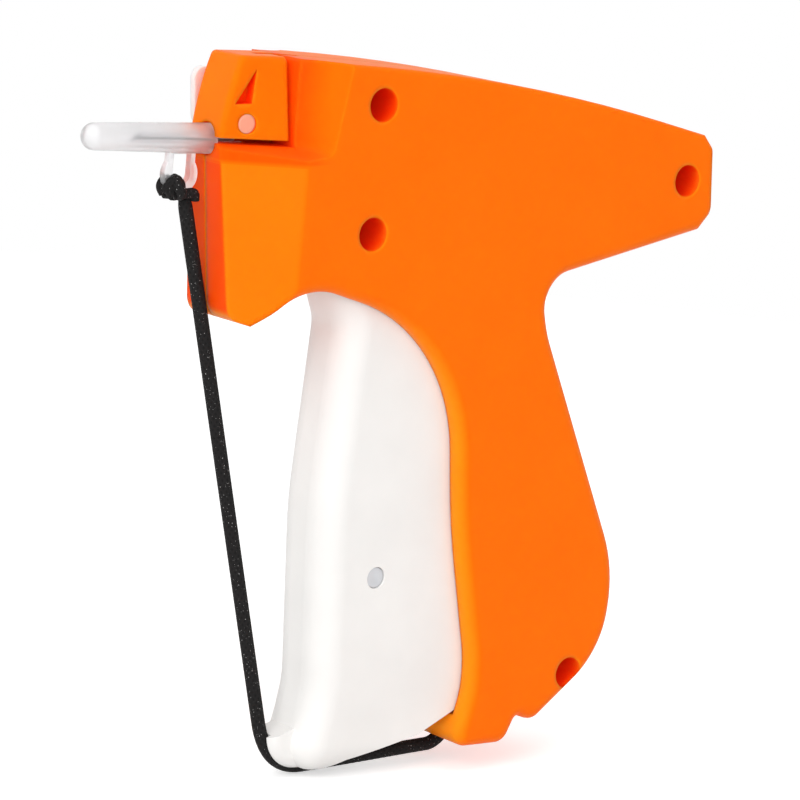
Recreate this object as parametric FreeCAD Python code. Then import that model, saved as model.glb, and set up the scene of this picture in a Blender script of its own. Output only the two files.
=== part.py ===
import FreeCAD
import Part
import math
import os

# Garment tag attacher: a hand tool that shoots plastic tag fasteners through a hollow needle.
# Millimetres. The needle points to -X, +Z is up, and the two housing shells meet on the plane Y = 0.
# The origin is on that plane, in the middle of the handle, where the palm closes on it.

# Overall sizes
body_length = 122.0
body_height = 139.0
body_width = 24.0
wall = 2.0
half_width = body_width / 2
inner_half = half_width - wall

# Clearances
running = 0.05            # radial, a shaft that turns in its bore
sliding = 0.2             # a slide beside its rail
loose = 0.3               # pieces that only pass one another
trigger_gap = 0.4         # each side of the trigger in the opening of the handle
link_room = 1.2           # each side of the drive link inside the trigger
link_slack = 0.65         # the open pivot of the linkage
overrun = 1.0             # how far a cut runs past the faces that it opens
seat_overlap = 0.5        # how deep a boss or rib runs into the wall that carries it

# Outlines in the XZ plane: x as a share of the body length, z and the corner radius as shares of its height
housing_outline_shares = [
    (-0.543, 0.636, 0.000),  # top of the tag slit
    (-0.129, 0.624, 3.309),  # crown of the back
    (0.298, 0.545, 0.000),  # rear top corner
    (0.315, 0.529, 0.000),
    (0.328, 0.419, 0.000),  # rear bottom corner
    (0.311, 0.402, 0.000),
    (-0.026, 0.329, 0.050),  # web behind the handle
    (-0.002, 0.252, 0.180),
    (0.203, -0.108, 0.216),  # heel of the palm
    (0.192, -0.237, 0.144),
    (0.051, -0.334, 0.022),  # butt
    (0.013, -0.323, 0.009),  # lanyard step
    (-0.008, -0.363, 0.025),
    (-0.121, -0.363, 0.022),  # toe of the handle
    (-0.097, -0.277, 0.144),
    (-0.100, -0.227, 0.216),
    (-0.155, -0.029, 1.079),  # front strap
    (-0.195, 0.252, 0.259),  # arch over the trigger
    (-0.501, 0.327, 0.115),
    (-0.599, 0.268, 0.000),  # chin
    (-0.634, 0.276, 0.029),
    (-0.666, 0.515, 0.000),  # muzzle
    (-0.543, 0.515, 0.000),  # foot of the tag slit
]
trigger_outline_shares = [
    (-0.535, 0.412, 0.037),  # ear over the axle
    (-0.448, 0.412, 0.037),
    (-0.434, 0.338, 0.022),
    (-0.170, 0.272, 0.245),  # top, under the arch
    (-0.133, -0.029, 0.288),  # back edge, inside the handle
    (-0.077, -0.227, 0.086),
    (-0.080, -0.301, 0.011),  # rear bottom corner, over the sill
    (-0.176, -0.343, 0.029),
    (-0.316, -0.372, 0.000),  # underside
    (-0.357, -0.390, 0.014),  # toe
    (-0.426, -0.390, 0.043),
    (-0.404, -0.309, 0.086),
    (-0.395, -0.263, 0.144),  # finger face
    (-0.416, 0.000, 0.719),
    (-0.400, 0.259, 0.043),
    (-0.433, 0.328, 0.000),
    (-0.521, 0.341, 0.029),
]
lever_outline_shares = [
    (-0.018, 0.526, 0.022),  # fork tip
    (0.034, 0.526, 0.022),
    (0.034, 0.478, 0.043),
    (-0.059, 0.288, 0.158),  # bow that clears the web of the handle
    (0.005, 0.058, 0.072),
    (-0.014, -0.158, 0.023),  # lower arm
    (-0.072, -0.158, 0.023),
    (-0.056, 0.058, 0.072),
    (-0.123, 0.289, 0.158),
    (-0.018, 0.473, 0.043),
]
trigger_opening_shares = [
    (-0.447, 0.216),  # front of the arch
    (-0.447, 0.347),
    (-0.164, 0.302),
    (-0.090, 0.000),
    (-0.060, -0.216),
    (-0.060, -0.318),  # sill
    (-0.300, -0.318),
    (-0.300, 0.000),
]

# Places in the XZ plane, as shares of the body length and height
trigger_axle_share = (-0.492, 0.374)
trigger_pin_share = (-0.297, -0.1022)
lever_axle_share = (-0.0246, 0.0432)
slide_pin_share = (0.0082, 0.5036)
link_pin_share = (-0.0426, -0.1331)
screw_place_shares = [(-0.398, 0.579), (-0.396, 0.399), (0.265, 0.477), (0.113, -0.263)]
lock_axle_share = (-0.624, 0.5442)
cord_anchor_share = (-0.040, -0.322)

# Shells
handle_round = 2.4
crown_round = 0.8
cheek_back = 0.534 * body_length
muzzle_front = 0.666 * body_length
muzzle_half = 5.0
screw_recess_radius = 3.3
screw_recess_depth = 10.0
screw_recess_rim = 0.6
boss_wall = 1.4
boss_radius = screw_recess_radius + boss_wall
head_solid_back = 0.455 * body_length
head_solid_foot = 0.440 * body_height
rib_thickness = 1.2
tail_rib_share = 0.2
handle_rib_share = -0.2

# Head: the needle, the tag channel and the block over them
needle_height = 0.5187 * body_height
block_front_shares = [
    (-0.667, 0.5237, 0.000),  # foot, over the muzzle
    (-0.660, 0.583, 0.576),
    (-0.639, 0.6365, 0.010),  # top
]
slot_top = block_front_shares[0][1] * body_height
slit_back = 0.543 * body_length
slit_width = 0.8
slit_top_width = 1.2
slit_front = slit_back + slit_width
head_top = block_front_shares[-1][1] * body_height
block_front_half = 5.1
ledge_width = 3.7
block_back_half = half_width - ledge_width
block_top_half = 5.8      # at the top of the rear
block_round = 1.0
ledge_drop = 2.4
scoop_reach = 8.2
scoop_depth = 4.0
scoop_height = 0.5734 * body_height
scoop_lean = 10.0         # degrees, backward at the top
scoop_foot_round = 2.5
channel_half = 0.8
channel_front = 0.5885 * body_length
channel_back = 0.505 * body_length
recess_depth = 1.8
recess_corner_shares = [(-0.612, 0.619), (-0.647, 0.570), (-0.618, 0.572)]

# Needle, its base and its cap
needle_radius = 1.1
needle_bore = 0.75
needle_tip = 0.811 * body_length
needle_slot = 0.5
base_radius = 1.7
base_back = 0.606 * body_length
spigot_reach = 3.2
cap_back = 0.6585 * body_length
cap_tip = 0.8926 * body_length
cap_tip_radius = 2.6
cap_back_radius = 2.95
cap_wall = 1.0
ring_place = 0.710 * body_length
ring_radius = 3.75
ring_hole = 2.0
ring_drop = 6.85
ring_thickness = 1.6

# Needle lock lever
lock_radius = 1.4
lock_head_radius = 1.83
lock_head_height = 2.5
lock_arm_length = 7.0
lock_arm_width = 4.4
lock_arm_thickness = 1.5
lock_arm_lean = 6.0

# Trigger
trigger_half = 8.0
opening_half = trigger_half + trigger_gap
trigger_wall = 1.8
trigger_travel = 12.5     # degrees
trigger_round = 5.8
trigger_axle_radius = 2.0
trigger_pin_radius = 2.2
toe_solid_top = 0.310 * body_height
toe_nose_half = 3.5
toe_nose_round = 2.4
toe_groove_half = 1.6
toe_groove_depth = 1.2
toe_groove_rise = 0.33    # of the groove's roof behind the toe
toe_groove_back = 0.300 * body_length
trigger_open_back = 5.4   # how far the hollow is pushed back, and up, to open the rear
trigger_open_up = 2.7
pin_recess = 0.3

# Drive lever, link and slide
lever_half = 2.5
lever_hub_radius = 2.8
lever_axle_radius = 1.5
lever_rim = 1.4
lever_web_half = 1.2
link_pin_radius = 1.5
link_half = trigger_half - trigger_wall - link_room
link_eye = 4.0
link_arm_half = 3.2
link_bridge = 14.0
slide_pin_radius = 1.5
slide_half = 4.6
slide_front = 0.107 * body_length
slide_back = 0.074 * body_length
slide_foot = 0.424 * body_height
slide_nose_foot = 0.492 * body_height
slide_top = 0.547 * body_height
slide_slot_drop = 6.9
slide_slot_lean = 11.4
slide_wing = 2.6
wing_height = 3.6
rail_height = 1.8
rail_run = 2.0            # of a rail past the slide at rest
hook_reach = 2.0          # from the slide's rear to the middle of its hook
rod_seat = 6.0            # of the rod inside the slide
rod_radius = 0.65
rod_tip = 0.508 * body_length

# Return spring
spring_wire = 0.7
spring_radius = 2.4
spring_end = 2.1          # length of the straight wire at each end
spring_height = 0.4870 * body_height
hook_radius = 1.6

# Tag feed
wheel_radius = 3.0
wheel_root = 2.1
wheel_teeth = 10
wheel_tooth_share = 0.55  # of the pitch, from a tooth's tip to the root after it
wheel_thickness = 3.0
wheel_place = 0.524 * body_length
wheel_side = 3.7
wheel_height = 0.573 * body_height
feed_axle_radius = 0.8
pawl_thickness = 0.5
pawl_width = 2.4
pawl_height = 7.4

# Screws
screw_radius = 1.4
screw_head_radius = 2.3
screw_head_height = 1.7
screw_grip = 8.0

# Elastic cord: route points (x, z) on the plane Y = 0, chosen by hand, with the radius of the bend at each
cord_radius = 1.4
cord_route = [
    (-84.4, 58.8, 0.0),
    (-53.3, -54.4, 8.0),
    (-9.0, -52.4, 4.5),
    (-5.5, -45.9, 0.0),
]
knot_radius = 2.5
knot_bead_radius = 1.6
knot_neck_radius = 1.1
knot_place_share = (-0.7185, 0.4505)
knot_bead_share = (-0.681, 0.4405)
anchor_radius = 1.3


def spot(share, y=0.0):
    """A point of the XZ plane given as shares of the body's length and height."""
    return FreeCAD.Vector(share[0] * body_length, y, share[1] * body_height)


def corners_of(shares):
    """Outline corners in real sizes: place and radius."""
    return [(spot(s), s[2] * body_height if len(s) > 2 else 0.0) for s in shares]


def corner_reaches(corners, closed):
    """How far each corner's arc reaches along its runs, held back where two arcs would meet on one run."""
    count = len(corners)
    wanted = []
    for i, (point, radius) in enumerate(corners):
        to_last = corners[i - 1][0] - point
        to_next = corners[(i + 1) % count][0] - point
        end = not closed and i in (0, count - 1)
        wanted.append(0.0 if end else radius * math.tan((math.pi - to_last.getAngle(to_next)) / 2))
    reaches = []
    for i in range(count):
        room = [1.0]
        for j in (i - 1, (i + 1) % count):
            run = (corners[j][0] - corners[i][0]).Length
            if wanted[i] + wanted[j] > run:
                room.append(run / (wanted[i] + wanted[j]))
        reaches.append(wanted[i] * min(room))
    return reaches


def rounded_wire(corners, closed=True):
    """A wire of straight runs joined by tangent arcs, through corners given as (point, radius)."""
    edges = []
    count = len(corners)
    pen = None
    first = None
    for i, reach in enumerate(corner_reaches(corners, closed)):
        point = corners[i][0]
        if not reach:
            enter = leave = point
        else:
            to_last = (corners[i - 1][0] - point).normalize()
            to_next = (corners[(i + 1) % count][0] - point).normalize()
            enter = point + to_last * reach
            leave = point + to_next * reach
        if pen is None:
            first = enter
        elif (enter - pen).Length > 1e-6:
            edges.append(Part.LineSegment(pen, enter).toShape())
        if (enter - leave).Length > 1e-6:
            edges.append(corner_arc(enter, point, leave))
        pen = leave
    if closed and (first - pen).Length > 1e-6:
        edges.append(Part.LineSegment(pen, first).toShape())
    return Part.Wire(edges)


def corner_arc(enter, corner, leave):
    """The arc that is tangent to both legs of a corner, whose legs have the same length."""
    to_last = (enter - corner).normalize()
    to_next = (leave - corner).normalize()
    half_angle = to_last.getAngle(to_next) / 2
    reach = (enter - corner).Length
    inward = (to_last + to_next).normalize()
    middle = corner + inward * (reach / math.cos(half_angle) - reach * math.tan(half_angle))
    return Part.Arc(enter, middle, leave).toShape()


def slab(wire, y_from, y_to):
    """The area inside a wire on the plane Y = 0, as a solid between two Y values."""
    face = Part.Face(wire)
    face.translate(FreeCAD.Vector(0, y_from, 0))
    return face.extrude(FreeCAD.Vector(0, y_to - y_from, 0))


def inset_slab(wire, distance, y_from, y_to):
    """The area inside a wire, drawn in by a distance, as a solid between two Y values."""
    face = Part.Face(wire).makeOffset2D(-distance)
    face.translate(FreeCAD.Vector(0, y_from, 0))
    return face.extrude(FreeCAD.Vector(0, y_to - y_from, 0))


def polygon_slab(points, y_from, y_to):
    return slab(Part.makePolygon(points + points[:1]), y_from, y_to)


def block(x_from, x_to, y_from, y_to, z_from, z_to):
    return Part.makeBox(x_to - x_from, y_to - y_from, z_to - z_from, FreeCAD.Vector(x_from, y_from, z_from))


def rod_y(place, radius, y_from, y_to):
    """A cylinder across the tool, from one Y value to another."""
    start = FreeCAD.Vector(place.x, y_from, place.z)
    return Part.makeCylinder(radius, y_to - y_from, start, FreeCAD.Vector(0, 1, 0))


def rod_x(x_from, x_to, y, z, radius):
    return Part.makeCylinder(radius, x_to - x_from, FreeCAD.Vector(x_from, y, z), FreeCAD.Vector(1, 0, 0))


def joined(pieces):
    whole = pieces[0]
    for piece in pieces[1:]:
        whole = whole.fuse(piece)
    return whole.removeSplitter()


def without(shape, cuts):
    for cut in cuts:
        shape = shape.cut(cut)
    return shape


def mirrored(shape):
    """The same shape on the other side of the plane Y = 0."""
    return shape.mirror(FreeCAD.Vector(0, 0, 0), FreeCAD.Vector(0, 1, 0))


def side_of_cheek(inset=0.0):
    """Everything outside the cheek plane of the left nose, which narrows towards the muzzle."""
    far = body_length
    slope = (half_width - muzzle_half) / (muzzle_front - cheek_back)
    side = -(half_width - inset)
    points = [
        FreeCAD.Vector(-far, side + slope * (far - cheek_back), 0),
        FreeCAD.Vector(-cheek_back, side, 0),
        FreeCAD.Vector(-cheek_back, -far, 0),
        FreeCAD.Vector(-far, -far, 0),
    ]
    face = Part.Face(Part.makePolygon(points + points[:1]))
    return face.extrude(FreeCAD.Vector(0, 0, body_height))


def block_half(x, z):
    """Half the width of the head block at a place on its side, which narrows forward, and upward at the rear."""
    front_x = spot(block_front_shares[0]).x
    back = (x - front_x) / (-slit_back - front_x)
    up = (z - slot_top) / (head_top - slot_top)
    rear_half = block_back_half + (block_top_half - block_back_half) * up
    return block_front_half + (rear_half - block_front_half) * back


def above_ledge():
    """Everything above the plane of the ledge, which falls towards the side."""
    ledge = spot(housing_outline_shares[-1]).z
    front = FreeCAD.Vector(-muzzle_front, -muzzle_half, ledge - crown_round)
    low = FreeCAD.Vector(-slit_back, -half_width, ledge - ledge_drop)
    high = FreeCAD.Vector(-slit_back, -block_back_half, ledge)
    normal = (low - front).cross(high - front).normalize()
    return Part.makeCylinder(body_length, body_height, front, normal)


def ledge_cut():
    """The room for the head block, down to the ledge."""
    ledge = spot(housing_outline_shares[-1]).z
    region = block(-muzzle_front - overrun, -slit_back, -half_width - overrun, 0.0,
                   ledge - 2 * ledge_drop, body_height)
    return above_ledge().common(region)


def scoop_cut():
    """The hollow beside the tag slit: a leaning cylinder sunk into the side, with a rounded foot on the ledge."""
    radius = (scoop_reach ** 2 + scoop_depth ** 2) / (2 * scoop_depth)
    centre = FreeCAD.Vector(-slit_back, -half_width - radius + scoop_depth, scoop_height)
    lean = math.radians(scoop_lean)
    axis = FreeCAD.Vector(math.sin(lean), 0, math.cos(lean))
    round_tool = Part.makeCylinder(radius, 2 * body_height, centre - axis * body_height, axis)
    tool = round_tool.common(above_ledge())
    foot_edges = [e for e in tool.Edges if e.BoundBox.ZMax < scoop_height]
    tool = tool.makeFillet(scoop_foot_round, foot_edges)
    region = block(-slit_back, -slit_back + 2 * scoop_reach, -body_width, 0.0, 0.0, body_height)
    return tool.common(region)


def outer_form():
    """The outside of the left shell, with its rounded edges."""
    wire = rounded_wire(corners_of(housing_outline_shares))
    form = slab(wire, -half_width, 0.0)
    handle_edges, crown_edges = [], []
    web_height = spot(housing_outline_shares[5]).z
    for edge in form.Edges:
        box = edge.BoundBox
        if box.YMax > -half_width + running:
            continue
        if box.ZMax < web_height + handle_round and box.XMax > spot(housing_outline_shares[19]).x + running:
            handle_edges.append(edge)
        elif box.XMin > -slit_back - running and box.ZMin > web_height + handle_round:
            crown_edges.append(edge)
    form = form.makeFillet(handle_round, handle_edges)
    crown_edges = [e for e in form.Edges if any(e.BoundBox.Center.isEqual(c.BoundBox.Center, sliding)
                                                for c in crown_edges)]
    form = form.makeFillet(crown_round, crown_edges)
    return without(form, [side_of_cheek(), ledge_cut(), scoop_cut()])


def cavity():
    """The hollow of the left shell. The head stays solid around the needle and the tag channel."""
    outline = rounded_wire(corners_of(housing_outline_shares))
    hollow = inset_slab(outline, wall, -inner_half, overrun)
    solid_head = block(-body_length, -head_solid_back, -half_width, 2 * overrun, head_solid_foot, body_height)
    return without(hollow, [solid_head, side_of_cheek(wall)])


def screw_boss(place, form):
    """A boss from the side wall to the parting plane, kept inside the outer form."""
    return rod_y(place, boss_radius, -half_width, 0.0).common(form)


def pivot_boss(place, radius):
    """A short boss on the side wall that carries the end of an axle."""
    return rod_y(place, radius + boss_wall, -inner_half - seat_overlap, -opening_half)


def slide_rail(z_low):
    """A rib along the barrel that the slide's wings run on."""
    return block(-head_solid_back - seat_overlap, slide_back + rail_run, -inner_half - seat_overlap,
                 -slide_half - sliding, z_low, z_low + rail_height)


def tail_ribs(form):
    """Stiffening ribs across the tail and the handle."""
    tail_x = tail_rib_share * body_length
    handle_z = handle_rib_share * body_height
    tail = block(tail_x, tail_x + rib_thickness, -half_width, -opening_half, 0.0, body_height)
    handle = block(0.0, body_length, -half_width, -opening_half, handle_z, handle_z + rib_thickness)
    return [tail.common(form), handle.common(form)]


def channel_cut():
    """The upright channel that the tag clip slides down, open at the top."""
    return block(-channel_front, -channel_back, -channel_half, channel_half,
                 needle_height - channel_half, body_height)


def left_shell():
    form = outer_form()
    shell = form.cut(cavity())
    places = [spot(s) for s in screw_place_shares]
    bosses = [screw_boss(p, form) for p in places]
    bosses += [pivot_boss(spot(trigger_axle_share), trigger_axle_radius)]
    bosses += [pivot_boss(spot(lever_axle_share), lever_axle_radius)]
    bosses += [pivot_boss(spot(cord_anchor_share), anchor_radius)]
    rails = [slide_rail(needle_height + wing_height / 2 + sliding),
             slide_rail(needle_height - wing_height / 2 - sliding - rail_height)]
    opening = polygon_slab([spot(s) for s in trigger_opening_shares], -opening_half, overrun)
    shell = joined([shell] + bosses + rails + tail_ribs(form))
    cuts = [opening, channel_cut(), cap_seat()]
    cuts += [rod_x(-body_length, 0.0, 0.0, needle_height, rod_radius + sliding)]
    cuts += [rod_x(-body_length, -base_back, 0.0, needle_height, base_radius)]
    axle_end = inner_half - seat_overlap
    cuts += [rod_y(spot(trigger_axle_share), trigger_axle_radius, -axle_end, 0.0)]
    cuts += [rod_y(spot(lever_axle_share), lever_axle_radius, -axle_end, 0.0)]
    cuts += [rod_y(spot(cord_anchor_share), anchor_radius, -axle_end, 0.0)]
    cuts += [cord_mouth()]
    return shell, places, cuts


def cord_mouth():
    """The mouth in the bottom of the handle that the elastic turns up into."""
    foot = spot(housing_outline_shares[12]).z
    anchor = spot(cord_anchor_share)
    half = cord_radius + 2 * loose
    return block(anchor.x - 4 * cord_radius, anchor.x + cord_radius, -half, half, foot - overrun, anchor.z)


def cap_seat():
    """The shallow round seat in the face of the head that the rear of the cap stands in."""
    return rod_x(-muzzle_front - overrun, -cap_back + running, 0.0, needle_height, cap_back_radius + loose)


def finished_left_shell():
    shell, places, cuts = left_shell()
    inside_rim = inset_slab(rounded_wire(corners_of(housing_outline_shares)), screw_recess_rim,
                            -body_width, 0.0)
    for place in places:
        well = rod_y(place, screw_recess_radius, -half_width - overrun, -half_width + screw_recess_depth)
        cuts.append(well.common(inside_rim))
        cuts.append(rod_y(place, screw_radius + sliding, -half_width, overrun))
    return without(shell, cuts)


def finished_right_shell():
    shell, places, cuts = left_shell()
    for place in places:
        cuts.append(rod_y(place, screw_radius, -screw_grip, overrun))
    shell = mirrored(without(shell, cuts))
    wheel_room = rod_x(-wheel_place - wheel_thickness / 2 - loose, -wheel_place + wheel_thickness / 2 + loose,
                       wheel_side, wheel_height, wheel_radius + loose)
    axle_bore = rod_x(-wheel_place - wheel_thickness / 2 - loose, -head_solid_back - overrun,
                      wheel_side, wheel_height, feed_axle_radius)
    pawl_seat = block(-wheel_place - pawl_width / 2, -wheel_place + pawl_width / 2,
                      wheel_side - pawl_thickness / 2, wheel_side + pawl_thickness / 2,
                      wheel_height + wheel_radius, wheel_height + pawl_height)
    return without(shell, [wheel_room, axle_bore, pawl_seat])


def block_plan(z):
    """The outline of the head block at a height, as a wire."""
    front_x = spot(block_front_shares[0]).x
    half_front, half_back = block_half(front_x, z), block_half(-slit_back, z)
    points = [
        FreeCAD.Vector(front_x, -half_front, z),
        FreeCAD.Vector(-slit_back, -half_back, z),
        FreeCAD.Vector(-slit_back, half_back, z),
        FreeCAD.Vector(front_x, half_front, z),
    ]
    return Part.makePolygon(points + points[:1])


def block_form():
    """The outside of the head block: a bowed front, a rear that leans away from the slit, narrowing sides."""
    foot_z = spot(housing_outline_shares[-1]).z
    rear = [(FreeCAD.Vector(-slit_back - slit_top_width, 0, head_top), 0.0),
            (FreeCAD.Vector(-slit_front, 0, slot_top), 0.0)]
    side = slab(rounded_wire(corners_of(block_front_shares) + rear), -half_width, half_width)
    front_x = spot(block_front_shares[0]).x
    right_foot = block(front_x, -slit_back, channel_half + loose, half_width, foot_z, slot_top)
    right_back = block(-slit_back - slit_top_width, -slit_back, channel_half + loose, half_width, slot_top, head_top)
    side = joined([side, right_foot, right_back])
    body = side.common(Part.makeLoft([block_plan(foot_z), block_plan(head_top)], True, True))
    top_x = spot(block_front_shares[-1]).x
    front_edges = [e for e in body.Edges if e.BoundBox.XMax < top_x + block_round
                   and e.BoundBox.ZLength > sliding and abs(e.BoundBox.Center.y) > block_round + channel_half]
    body = body.makeFillet(block_round, front_edges)
    top_edges = [e for e in body.Edges if e.BoundBox.ZMin > head_top - running
                 and top_x + running < e.BoundBox.XMax < -slit_back - running]
    return body.makeChamfer(crown_round, top_edges)


def nose_block():
    """The block over the needle. A slit behind it and a slot under it let the tag strings pass on the left."""
    body = block_form()
    lock = spot(lock_axle_share)
    y_out = half_width
    recess_place = spot(recess_corner_shares[1])
    recess = polygon_slab([spot(s) for s in recess_corner_shares], -half_width,
                          -block_half(recess_place.x, recess_place.z) + recess_depth)
    cuts = [
        recess,
        channel_cut(),
        rod_x(-body_length, 0.0, 0.0, needle_height, base_radius),
        rod_y(lock, lock_radius + running, -y_out, y_out),
        rod_y(lock, lock_head_radius + running, -y_out,
              -block_half(lock.x, lock.z) + lock_head_height + running),
        cap_seat(),
    ]
    return without(body, cuts)


def needle():
    """The hollow needle, slotted along its left side and cut slantwise at its tip."""
    tube = rod_x(-needle_tip, -base_back, 0.0, needle_height, needle_radius)
    bore = rod_x(-needle_tip - overrun, -base_back + overrun, 0.0, needle_height, needle_bore)
    slot = block(-needle_tip - overrun, -base_back + overrun, -2 * needle_radius, 0.0,
                 needle_height - needle_slot / 2, needle_height + needle_slot / 2)
    bevel = polygon_slab([
        FreeCAD.Vector(-needle_tip - overrun, 0, needle_height - 2 * needle_radius),
        FreeCAD.Vector(-needle_tip - overrun, 0, needle_height + needle_radius + overrun),
        FreeCAD.Vector(-needle_tip + 4 * needle_radius, 0, needle_height + needle_radius + overrun),
    ], -2 * needle_radius, 2 * needle_radius)
    return without(tube, [bore, slot, bevel])


def needle_base():
    """The sleeve that holds the needle. Its spigot stands out of the muzzle and carries the cap."""
    sleeve = rod_x(-muzzle_front - spigot_reach, -base_back, 0.0, needle_height, base_radius)
    bore = rod_x(-muzzle_front - spigot_reach - overrun, -base_back + overrun, 0.0, needle_height, needle_radius)
    slot = block(-muzzle_front - spigot_reach - overrun, -base_back + overrun, -2 * base_radius, 0.0,
                 needle_height - needle_slot / 2, needle_height + needle_slot / 2)
    return without(sleeve, [bore, slot])


def needle_cap():
    """The soft cap over the needle, with the ring that the elastic is tied to."""
    length = cap_tip - cap_back - cap_tip_radius
    start = FreeCAD.Vector(-cap_back, 0, needle_height)
    tube = Part.makeCone(cap_back_radius, cap_tip_radius, length, start, FreeCAD.Vector(-1, 0, 0))
    dome = Part.makeSphere(cap_tip_radius, FreeCAD.Vector(-cap_tip + cap_tip_radius, 0, needle_height))
    ring_centre = FreeCAD.Vector(-ring_place, 0, needle_height - ring_drop)
    half = ring_thickness / 2
    ring = rod_y(ring_centre, ring_radius, -half, half)
    ring = ring.fuse(block(-ring_place - ring_radius + half, -ring_place + ring_radius - half, -half, half,
                           needle_height - ring_drop, needle_height))
    eye = rod_y(ring_centre, ring_hole, -ring_radius, ring_radius)
    eye = eye.fuse(block(-ring_place - ring_hole, -ring_place + ring_hole, -ring_radius, ring_radius,
                         needle_height - ring_drop, needle_height - cap_back_radius))
    body = joined([tube, dome, ring.cut(eye)])
    bore = rod_x(-cap_tip + cap_tip_radius, -cap_back + overrun, 0.0, needle_height, base_radius + running)
    return body.cut(bore)


def lock_lever():
    """The lever that locks the needle: a headed shaft through the block and a thumb arm on the right."""
    lock = spot(lock_axle_share)
    y_side = block_half(lock.x, lock.z)
    y_arm = block_half(-slit_front, lock.z) + loose
    shaft = rod_y(lock, lock_radius, -y_side, y_arm + lock_arm_thickness)
    head = rod_y(lock, lock_head_radius, -y_side, -y_side + lock_head_height)
    tip = lock + FreeCAD.Vector(0, 0, lock_arm_length)
    arm = block(lock.x - lock_arm_width / 2, lock.x + lock_arm_width / 2, y_arm, y_arm + lock_arm_thickness,
                lock.z, tip.z)
    arm = arm.fuse(rod_y(lock, lock_arm_width / 2, y_arm, y_arm + lock_arm_thickness))
    arm = arm.fuse(rod_y(tip, lock_arm_width / 2, y_arm, y_arm + lock_arm_thickness))
    arm.rotate(lock, FreeCAD.Vector(0, 1, 0), -lock_arm_lean)
    return joined([shaft, head, arm])


def front_rounding():
    """What the left rounding takes off the trigger: a corner section swept round the toe and up the face."""
    corners = corners_of(trigger_outline_shares)[10:16]
    start = FreeCAD.Vector(spot(trigger_outline_shares[7]).x, 0, corners[0][0].z)
    path = rounded_wire([(start, 0.0)] + corners, closed=False)
    side, foot = -trigger_half, start.z
    low = FreeCAD.Vector(start.x, side + trigger_round, foot)
    high = FreeCAD.Vector(start.x, side, foot + trigger_round)
    hub = FreeCAD.Vector(start.x, low.y, high.z)
    middle = hub + FreeCAD.Vector(0, -1, -1).normalize() * trigger_round
    rim = [
        high,
        FreeCAD.Vector(start.x, side - overrun, high.z),
        FreeCAD.Vector(start.x, side - overrun, foot - overrun),
        FreeCAD.Vector(start.x, low.y, foot - overrun),
        low,
    ]
    edges = [Part.LineSegment(a, b).toShape() for a, b in zip(rim, rim[1:])]
    section = Part.Wire(edges + [Part.Arc(low, middle, high).toShape()])
    return path.makePipeShell([section], True, False)


def toe_centre():
    """The centre of the elastic's bend round the toe."""
    return cord_path().Edges[1].Curve.Center


def toe_nose():
    """The narrow nose in the middle of the toe that the elastic bears on, under a sloping top."""
    centre = toe_centre()
    radius = cord_route[1][2] - cord_radius + toe_groove_depth
    disc = rod_y(centre, radius, -toe_nose_half, toe_nose_half)
    disc = disc.makeFillet(toe_nose_round, [e for e in disc.Edges if e.BoundBox.YLength < running])
    keep = polygon_slab([
        FreeCAD.Vector(centre.x - 2 * radius, 0, centre.z - radius / 2),
        FreeCAD.Vector(centre.x, 0, centre.z + radius / 4),
        FreeCAD.Vector(centre.x + radius / 2, 0, centre.z - 2 * radius),
        FreeCAD.Vector(centre.x - 2 * radius, 0, centre.z - 2 * radius),
    ], -half_width, half_width)
    return disc.common(keep)


def toe_groove():
    """The groove that keeps the elastic in the middle of the toe."""
    centre = toe_centre()
    floor = cord_route[1][2] - cord_radius
    room = block(centre.x - 2 * floor, -toe_groove_back, -toe_groove_half, toe_groove_half,
                 centre.z - 2 * floor, centre.z - floor + toe_groove_rise)
    front = block(centre.x - 2 * floor, centre.x, -toe_groove_half, toe_groove_half,
                  centre.z - 2 * floor, centre.z)
    return front.cut(rod_y(centre, floor, -half_width, half_width)).fuse(
        room.cut(block(centre.x - 2 * floor, centre.x, -half_width, half_width, -body_height, 0.0)))


def lever_hub_room():
    """Where the lever's hub comes to when the trigger is squeezed, seen from the trigger."""
    place = spot(lever_axle_share)
    room = rod_y(place, lever_hub_radius + 2 * loose, -half_width, half_width)
    room.rotate(spot(trigger_axle_share), FreeCAD.Vector(0, 1, 0), trigger_travel)
    return room


def trigger():
    """The trigger: a hollow shell, open behind, with a rounded finger face and a groove round its toe."""
    wire = rounded_wire(corners_of(trigger_outline_shares))
    body = slab(wire, -trigger_half, trigger_half)
    pin = spot(trigger_pin_share)
    rounding = front_rounding()
    body = without(body, [rounding, mirrored(rounding)])
    hollow = inset_slab(wire, trigger_wall, -trigger_half + trigger_wall, trigger_half - trigger_wall)
    opened = hollow.copy()
    opened.translate(FreeCAD.Vector(trigger_open_back, 0, trigger_open_up))
    hollow = hollow.fuse(opened)
    hollow = hollow.cut(block(-body_length, 0.0, -trigger_half, trigger_half, -body_height, -toe_solid_top))
    body = body.cut(hollow).fuse(toe_nose()).removeSplitter()
    cuts = [toe_groove(), lever_hub_room()]
    cuts += [rod_y(spot(trigger_axle_share), trigger_axle_radius + running, -half_width, half_width)]
    cuts += [rod_y(pin, trigger_pin_radius, -half_width, half_width)]
    return without(body, cuts)


def lever_profile():
    return rounded_wire(corners_of(lever_outline_shares))


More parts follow.
